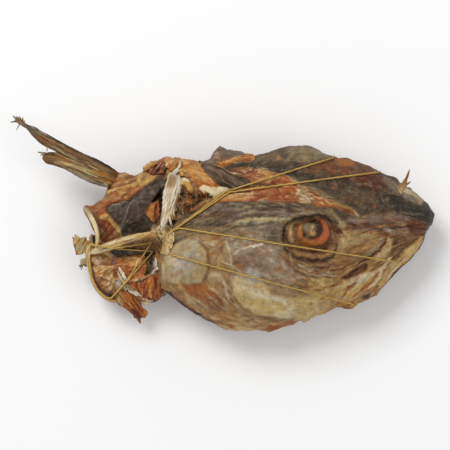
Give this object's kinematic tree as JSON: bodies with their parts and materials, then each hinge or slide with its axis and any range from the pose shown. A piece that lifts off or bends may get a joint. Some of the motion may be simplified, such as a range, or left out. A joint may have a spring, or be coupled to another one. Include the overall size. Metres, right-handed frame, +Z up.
{
  "type": "dried stockfish head",
  "caption": "Wind-dried cod head with its collar and one spread fin, bound round the snout and throat with twine, lying cheek up.",
  "frame": {"origin": "on the ground, under the middle of the whole piece's box", "axes": "+X from the fin to the snout, +Y from the belly side to the crown of the head, +Z up out of the right cheek"},
  "size_m": [0.3614, 0.1846, 0.0948],
  "materials": {
    "dried_fish": "dried skin and flesh, mottled, half matt",
    "twine": "twisted plant fibre, matt"
  },
  "bodies": {
    "root": {"dried_fish": "dried_fish", "twine_brow_loop": "twine", "twine_snout_loop": "twine", "twine_collar_tie": "twine"}
  },
  "joints": []
}
